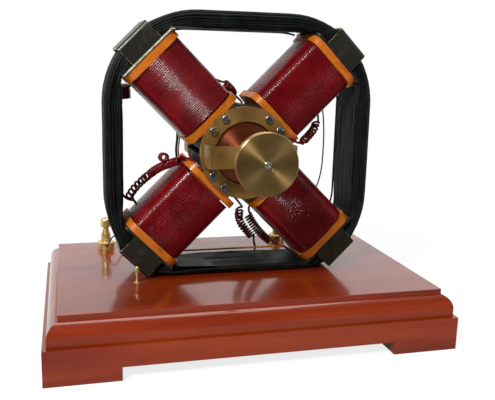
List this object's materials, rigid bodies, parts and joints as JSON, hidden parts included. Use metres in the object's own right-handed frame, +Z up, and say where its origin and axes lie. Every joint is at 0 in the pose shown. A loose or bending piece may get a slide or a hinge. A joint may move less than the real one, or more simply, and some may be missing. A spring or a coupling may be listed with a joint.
{
  "type": "demonstration electric motor",
  "caption": "A brass-and-copper demonstration electric motor with diagonal red wound magnets in a black iron loop, on a moulded mahogany base with brass binding posts.",
  "frame": {"origin": "centre of the wooden base's footprint, on the surface that it stands on", "axes": "+X along the base's long side, +Y from the disc end of the shaft towards the binding posts, +Z up"},
  "size_m": [0.2898, 0.1888, 0.237],
  "materials": {
    "mahogany": "polished shellac over mahogany",
    "bobbin_wood": "amber varnish",
    "shellac_red": "shellacked winding wire, glossy",
    "card_black": "fibre card",
    "bright_plate": "rolled sheet",
    "pole_iron": "oiled iron",
    "strap_iron": "dark varnished iron band",
    "yoke_black": "black varnish over a bundle of iron wire",
    "amber_wire": "varnished wire",
    "brass_dark": "darkened brass",
    "brass_bright": "polished brass",
    "steel": "turned steel",
    "copper": "turned copper, satin",
    "lead_black": "varnished lead"
  },
  "bodies": {
    "frame": {"plinth_rail_front": "mahogany", "plinth_rail_back": "mahogany", "plinth_rail_right": "mahogany", "plinth_rail_left": "mahogany", "top_board": "mahogany", "wood_screws": "steel", "pole_core_upper_right": "pole_iron", "bobbin_upper_right": "bobbin_wood", "winding_upper_right": "shellac_red", "clamp_strap_upper_right": "strap_iron", "pole_core_lower_right": "pole_iron", "bobbin_lower_right": "bobbin_wood", "winding_lower_right": "shellac_red", "clamp_strap_lower_right": "strap_iron", "pole_core_lower_left": "pole_iron", "bobbin_lower_left": "bobbin_wood", "winding_lower_left": "shellac_red", "clamp_strap_lower_left": "strap_iron", "pole_core_upper_left": "pole_iron", "bobbin_upper_left": "bobbin_wood", "winding_upper_left": "shellac_red", "clamp_strap_upper_left": "strap_iron", "winding_turns": "shellac_red", "insulating_cards": "card_black", "end_plates": "bright_plate", "strap_screws": "steel", "yoke_top": "yoke_black", "yoke_right": "yoke_black", "yoke_left": "yoke_black", "yoke_bottom": "yoke_black", "yoke_strands": "amber_wire", "front_ring": "brass_dark", "rear_ring": "brass_dark", "ring_screws": "steel", "front_bridge": "brass_dark", "rear_bridge": "brass_dark", "bearings": "brass_bright", "bridge_screws": "steel", "terminal_posts": "brass_bright", "terminal_nuts": "brass_bright", "brass_pins": "brass_bright", "curly_lead_lower_left": "shellac_red", "curly_lead_upper_right": "shellac_red", "curly_leads_lower": "shellac_red", "curly_leads_rear": "shellac_red", "black_leads": "lead_black", "copper_lead": "amber_wire"},
    "rotor": {"shaft": "steel", "rotor_drum": "copper", "rotor_iron": "pole_iron", "brass_disc": "brass_bright", "collars": "brass_bright"},
    "clamp_washer_1": {"terminal_washer_1": "brass_bright"},
    "clamp_knob_1": {"terminal_knob_1": "brass_bright"},
    "clamp_washer_2": {"terminal_washer_2": "brass_bright"},
    "clamp_knob_2": {"terminal_knob_2": "brass_bright"},
    "clamp_washer_3": {"terminal_washer_3": "brass_bright"},
    "clamp_knob_3": {"terminal_knob_3": "brass_bright"},
    "clamp_washer_4": {"terminal_washer_4": "brass_bright"},
    "clamp_knob_4": {"terminal_knob_4": "brass_bright"}
  },
  "joints": [
    {"name": "rotor_spin", "type": "hinge", "parent": "frame", "child": "rotor", "pos_m": [0, 0, 0.1365], "axis": [0, 1, 0], "continuous": true},
    {"name": "washer_lift_1", "type": "slide", "parent": "frame", "child": "clamp_washer_1", "axis": [0, 0, 1], "range_m": [0, 0.0021]},
    {"name": "knob_turn_1", "type": "hinge", "parent": "clamp_washer_1", "child": "clamp_knob_1", "pos_m": [-0.096, 0.066, 0.056], "axis": [0, 0, 1], "range_deg": [0, 1080]},
    {"name": "washer_lift_2", "type": "slide", "parent": "frame", "child": "clamp_washer_2", "axis": [0, 0, 1], "range_m": [0, 0.0021]},
    {"name": "knob_turn_2", "type": "hinge", "parent": "clamp_washer_2", "child": "clamp_knob_2", "pos_m": [-0.056, 0.066, 0.056], "axis": [0, 0, 1], "range_deg": [0, 1080]},
    {"name": "washer_lift_3", "type": "slide", "parent": "frame", "child": "clamp_washer_3", "axis": [0, 0, 1], "range_m": [0, 0.0021]},
    {"name": "knob_turn_3", "type": "hinge", "parent": "clamp_washer_3", "child": "clamp_knob_3", "pos_m": [0.056, 0.066, 0.056], "axis": [0, 0, 1], "range_deg": [0, 1080]},
    {"name": "washer_lift_4", "type": "slide", "parent": "frame", "child": "clamp_washer_4", "axis": [0, 0, 1], "range_m": [0, 0.0021]},
    {"name": "knob_turn_4", "type": "hinge", "parent": "clamp_washer_4", "child": "clamp_knob_4", "pos_m": [0.096, 0.066, 0.056], "axis": [0, 0, 1], "range_deg": [0, 1080]}
  ],
  "couplings": [
    {"joint": "knob_turn_1", "follows": "washer_lift_1", "rad_per_m": 8975.9},
    {"joint": "knob_turn_2", "follows": "washer_lift_2", "rad_per_m": 8975.9},
    {"joint": "knob_turn_3", "follows": "washer_lift_3", "rad_per_m": 8975.9},
    {"joint": "knob_turn_4", "follows": "washer_lift_4", "rad_per_m": 8975.9}
  ]
}
